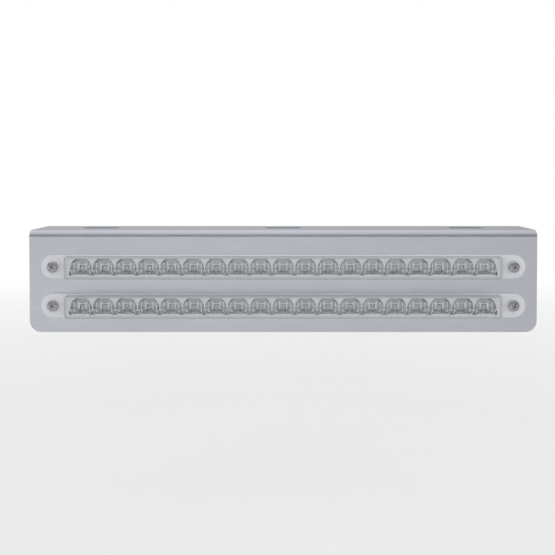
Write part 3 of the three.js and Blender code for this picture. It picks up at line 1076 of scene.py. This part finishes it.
screw_mesh = screw()
nut_mesh = nut()
for row in ROWS:
    for side in SIDES:
        place = on_plate(row, SCREW_X[side])
        piece(f"{row}_{side}_pan_screw", screw_mesh, FASTENER, "screw_steel",
              f"{row}_{side}_screw", at=place)
        piece(f"{row}_{side}_flange_nut", nut_mesh, FASTENER, "screw_steel",
              f"{row}_{side}_nut", at=place)

# ---- Stage --------------------------------------------------------------------------------------

CAMERA_AHEAD = 630  # from the face plate
CAMERA_X = 3.8
CAMERA_ABOVE = 51.9  # over the flange's top face
CAMERA_TILT = 1.25  # degrees below level
FOCAL_LENGTH = 45.5
SENSOR_WIDTH = 36
SHIFT = (-0.018, -0.1614)
CLIP = (0.01, 50)  # metres

# Brightness of the studio, as pairs of place and level. The first three tables run by height, from 0
# straight down to 1 straight up: the room before and behind the object, and the light on matte
# surfaces.
FRONT_LIGHT = (
    (0.0, 0.42), (0.36, 0.44), (0.47, 0.69), (0.53, 0.69), (0.565, 0.04),
    (0.70, 0.04), (0.77, 0.36), (0.93, 0.44), (1.0, 0.6))
BACK_LIGHT = (
    (0.0, 0.35), (0.5, 0.28), (0.60, 0.29), (0.71, 0.42), (0.83, 0.50), (0.96, 0.60), (1.0, 0.55))
MATTE_LIGHT = ((0.0, 0.65), (0.5, 0.65), (0.6, 0.95), (0.86, 0.95), (0.93, 0.2), (1.0, 0.2))
SIDE_DIMMING = ((0.0, 0.92), (0.5, 1.0), (0.75, 0.78), (1.0, 0.75))  # from the left to the right
LENS_LIGHT = ((0.0, 0.75), (0.08, 0.75), (0.22, 0.39), (1.0, 0.36))  # from the front to the back
FRONT_TO_BACK = (-0.6, 0.2)  # y of the directions between which the room changes from front to back
ROOM_STRENGTH = 1.4
MATTE_STRENGTH = 1.3

OVERHEAD_PLACE = (0, -0.2, 1.5)  # metres
OVERHEAD_SIZE = (1.6, 1.2)  # metres
OVERHEAD_WATTS = 3
FLOOR_DROP = 300  # the object hangs by its flange this far above the floor
FLOOR_NEAR, FLOOR_FAR = 0.9, 2.4  # metres from the origin between which the floor fades away
FLOOR_ROUGHNESS = 0.9


def floor():
    """A pale floor that fades into the studio's white far from the object. No reflection shows it."""
    mesh = bpy.data.meshes.new("floor")
    size, z = FLOOR_FAR, mm(BOTTOM_Z - FLOOR_DROP)
    corners = [(-size, -size, z), (size, -size, z), (size, size, z), (-size, size, z)]
    mesh.from_pydata(corners, [], [(0, 1, 2, 3)])
    shader = Shader("pale_floor", Roughness=FLOOR_ROUGHNESS)
    shader.colour(shader.mix(shader.noise(3), (0.93, 0.93, 0.93), (0.94, 0.94, 0.94)))
    distance = shader.node("ShaderNodeVectorMath", operation="LENGTH")
    shader.link(shader.coordinates, distance.inputs[0])
    shader.link(
        shader.between(distance.outputs["Value"], 1, 0, FLOOR_NEAR, FLOOR_FAR),
        shader.principled.inputs["Alpha"])
    mesh.materials.append(shader.material)
    obj = bpy.data.objects.new("floor", mesh)
    obj.visible_glossy = False
    obj.visible_transmission = False
    bpy.context.scene.collection.objects.link(obj)


def camera():
    """Squarely before the face plate, a little above the flange."""
    data = bpy.data.cameras.new("camera")
    data.lens = FOCAL_LENGTH
    data.sensor_width = SENSOR_WIDTH
    data.shift_x, data.shift_y = SHIFT
    data.clip_start, data.clip_end = CLIP
    obj = bpy.data.objects.new("camera", data)
    obj.location = (mm(CAMERA_X), mm(FACE_FRONT_Y - CAMERA_AHEAD), mm(CAMERA_ABOVE))
    obj.rotation_euler = (math.radians(90 - CAMERA_TILT), 0, 0)
    bpy.context.scene.collection.objects.link(obj)
    bpy.context.scene.camera = obj


def overhead_light():
    """A soft light above the object, aimed at its origin. No reflection shows it."""
    data = bpy.data.lights.new("overhead", "AREA")
    data.shape = "RECTANGLE"
    data.size, data.size_y = OVERHEAD_SIZE
    data.energy = OVERHEAD_WATTS
    obj = bpy.data.objects.new("overhead", data)
    obj.location = OVERHEAD_PLACE
    obj.rotation_euler = (-Vector(OVERHEAD_PLACE)).to_track_quat("-Z", "Y").to_euler()
    obj.visible_glossy = False
    bpy.context.scene.collection.objects.link(obj)


def world():
    """A white studio with a light of its own for each kind of surface.

    Glossy surfaces see a room that, in front of the object, is brightest around the horizon and darkest
    a little above it. What is seen through the lens is lit mostly from the front. Matte surfaces are
    lit most from above the horizon, and little from straight overhead. The camera itself sees white.
    """
    made = bpy.data.worlds.new("studio")
    bpy.context.scene.world = made
    made.use_nodes = True
    tree = made.node_tree
    tree.nodes.remove(tree.nodes["Background"])
    direction = tree.nodes.new("ShaderNodeSeparateXYZ")
    tree.links.new(tree.nodes.new("ShaderNodeTexCoord").outputs["Generated"], direction.inputs[0])
    rays = tree.nodes.new("ShaderNodeLightPath")

    def place(axis, start=-1, end=1, interpolation="LINEAR"):
        """Place of a direction along an axis, 0 at start and 1 at end."""
        ranged = tree.nodes.new("ShaderNodeMapRange")
        ranged.interpolation_type = interpolation
        ranged.inputs["From Min"].default_value = start
        ranged.inputs["From Max"].default_value = end
        tree.links.new(direction.outputs[axis], ranged.inputs["Value"])
        return ranged.outputs["Result"]

    def ramp(value, stops):
        made_ramp = tree.nodes.new("ShaderNodeValToRGB")
        tree.links.new(value, made_ramp.inputs["Fac"])
        elements = made_ramp.color_ramp.elements
        while len(elements) < len(stops):
            elements.new(0.5)
        for element, (position, level) in zip(elements, stops):
            element.position = position
            element.color = (level, level, level, 1)
        return made_ramp.outputs["Color"]

    def blend(kind, low, high, factor=None):
        mix = tree.nodes.new("ShaderNodeMix")
        mix.data_type = "RGBA"
        mix.blend_type = kind
        mix.inputs["Factor"].default_value = 1
        if factor:
            tree.links.new(factor, mix.inputs["Factor"])
        tree.links.new(low, mix.inputs[6])
        tree.links.new(high, mix.inputs[7])
        return mix.outputs[2]

    def background(colour, strength=1.0):
        light = tree.nodes.new("ShaderNodeBackground")
        light.inputs["Strength"].default_value = strength
        if isinstance(colour, tuple):
            light.inputs["Color"].default_value = colour
        else:
            tree.links.new(colour, light.inputs["Color"])
        return light.outputs["Background"]

    def choose(ray, otherwise, chosen):
        """One light for rays of a kind, or that have met a surface of a kind, and another for the rest."""
        met = tree.nodes.new("ShaderNodeMath")
        met.operation = "MINIMUM"
        met.inputs[1].default_value = 1
        tree.links.new(rays.outputs[ray], met.inputs[0])
        mix = tree.nodes.new("ShaderNodeMixShader")
        tree.links.new(met.outputs["Value"], mix.inputs["Fac"])
        tree.links.new(otherwise, mix.inputs[1])
        tree.links.new(chosen, mix.inputs[2])
        return mix.outputs["Shader"]

    height = place("Z")
    facing_back = place("Y", *FRONT_TO_BACK, "SMOOTHSTEP")
    around = blend("MIX", ramp(height, FRONT_LIGHT), ramp(height, BACK_LIGHT), facing_back)
    dimmed = blend("MULTIPLY", around, ramp(place("X"), SIDE_DIMMING))
    room = background(dimmed, ROOM_STRENGTH)
    inside = background(ramp(place("Y"), LENS_LIGHT))
    matte = background(ramp(height, MATTE_LIGHT), MATTE_STRENGTH)
    white = background((1, 1, 1, 1))

    lit = choose("Transmission Depth", room, inside)
    lit = choose("Diffuse Depth", lit, matte)
    shown = choose("Is Camera Ray", lit, white)
    tree.links.new(shown, tree.nodes["World Output"].inputs["Surface"])


floor()
camera()
world()
overhead_light()
bpy.context.scene.view_settings.view_transform = "Standard"
